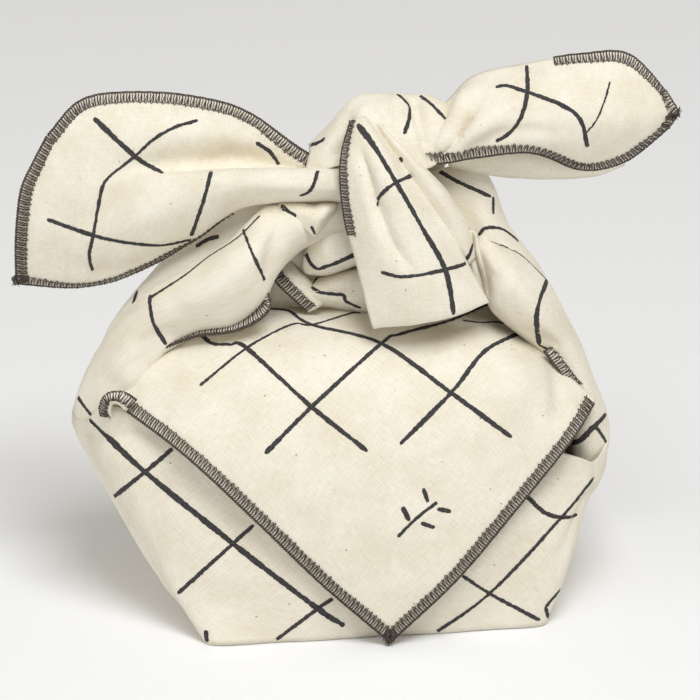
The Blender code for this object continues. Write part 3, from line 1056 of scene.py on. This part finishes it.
def makeOverlock(name, edges, material):
    loops, strands = [], []
    for sheetName, corner in tangles.items():
        loops.append(tangle(sheets[sheetName].near(Vector(corner) * mm)[0], 1.3, 46))
    for sheetName, stretch in edges:
        newLoops, newStrands = sewEdge(sheets[sheetName], stretch)
        loops += newLoops
        strands += newStrands
    whole = bmesh.new()
    for runs, radius in ((loops, overlock["thread"]), (strands, overlock["cord"])):
        mesh = threadCurve(name, runs, radius)
        whole.from_mesh(mesh)
        bpy.data.meshes.remove(mesh)
    piece = finishPiece(name, whole, material)
    print(name, "sewn:", sum(len(face.vertices) - 2 for face in piece.data.polygons), "triangles")
    return piece


seams = [
    ("hangingCorner", [(0, 0), (0, 3.83)]),
    ("hangingCorner", [(0, 0), (3.95, 0)]),
    ("cornerCurl", [(0, 2), (4, 2)]),
    ("leftHem", [(0, 0), (5, 0)]),
    ("innerHem", [(0, 0), (3, 0)]),
    ("rightHem", [(0, 0), (3, 0)]),
    ("band", [(0, 0), (2.5, 0)]),
    ("leftEnd", [(1, 0), (6, 0)]),
    ("leftEnd", [(6, 0), (6, 6)]),
    ("leftEnd", [(6, 6), (2.2, 6)]),
    ("rightEnd", [(3.5, 0), (6, 0)]),
    ("rightEnd", [(6, 0), (6, 4)]),
    ("rightEnd", [(6, 4), (1, 4)]),
]


def makeCloth(material):
    whole = bmesh.new()
    for sheet in sheets.values():
        carrier = bpy.data.meshes.new("carrier")
        sheet.bm.to_mesh(carrier)
        whole.from_mesh(carrier)
        bpy.data.meshes.remove(carrier)
    rim = [edge for edge in whole.edges
           if edge.is_boundary and all(vert.co.z < 1.3 * mm for vert in edge.verts)]
    bmesh.ops.contextual_create(whole, geom=rim)
    piece = finishPiece("wrappedCloth", whole, material)
    solidify = piece.modifiers.new("thickness", "SOLIDIFY")
    solidify.thickness = cloth["thickness"] * mm
    solidify.offset = 0
    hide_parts("cloth")
    return piece


wrapped = makeCloth(makeCotton())
inked = makeLines()
sewn = makeOverlock("overlockedEdge", seams, makeThread())


# ---- camera, floor and light

studio = {
    "framed": 304.5,        # the width in view, in mm
    "away": 4000,
    "aim": (-6.5, 0, 113.5),
}


def makeCamera():
    data = bpy.data.cameras.new("camera")
    data.sensor_width = 36
    data.lens = 36 * studio["away"] / studio["framed"]
    data.clip_end = 20
    camera = bpy.data.objects.new("camera", data)
    bpy.context.scene.collection.objects.link(camera)
    back = Vector((0, -math.cos(boardTilt), math.sin(boardTilt)))
    camera.location = (Vector(studio["aim"]) + back * studio["away"]) * mm
    camera.rotation_euler = (math.pi / 2 - boardTilt, 0, 0)
    bpy.context.scene.camera = camera


def makeFloor():
    bm = bmesh.new()
    bmesh.ops.create_grid(bm, x_segments=1, y_segments=1, size=6)
    mesh = bpy.data.meshes.new("floor")
    bm.to_mesh(mesh)
    bm.free()
    floor = bpy.data.objects.new("floor", mesh)
    bpy.context.scene.collection.objects.link(floor)
    finish = Finish("floorPaint", Base_Color=(0.95, 0.96, 0.98, 1), Roughness=0.9)
    mesh.materials.append(finish.material)


def makeLight(name, place, size, power, colour=(1, 1, 1)):
    data = bpy.data.lights.new(name, "AREA")
    data.size = size
    data.energy = power
    data.color = colour
    light = bpy.data.objects.new(name, data)
    bpy.context.scene.collection.objects.link(light)
    light.location = place
    aim = Vector((0, 0, 0.1)) - Vector(place)
    light.rotation_euler = aim.to_track_quat("-Z", "Y").to_euler()


def makeWorld():
    world = bpy.data.worlds.new("studio")
    world.use_nodes = True
    world.node_tree.nodes["Background"].inputs["Color"].default_value = (1, 0.95, 0.86, 1)
    world.node_tree.nodes["Background"].inputs["Strength"].default_value = 0.40
    bpy.context.scene.world = world
    bpy.context.scene.view_settings.view_transform = "Standard"


makeCamera()
makeFloor()
makeLight("key", (0.35, -1.15, 2.2), 1.1, 38, (0.97, 0.985, 1.0))
makeLight("fill", (-1.6, -1.3, 1.6), 1.4, 7, (0.98, 0.99, 1.0))
makeWorld()
print("studio ready")
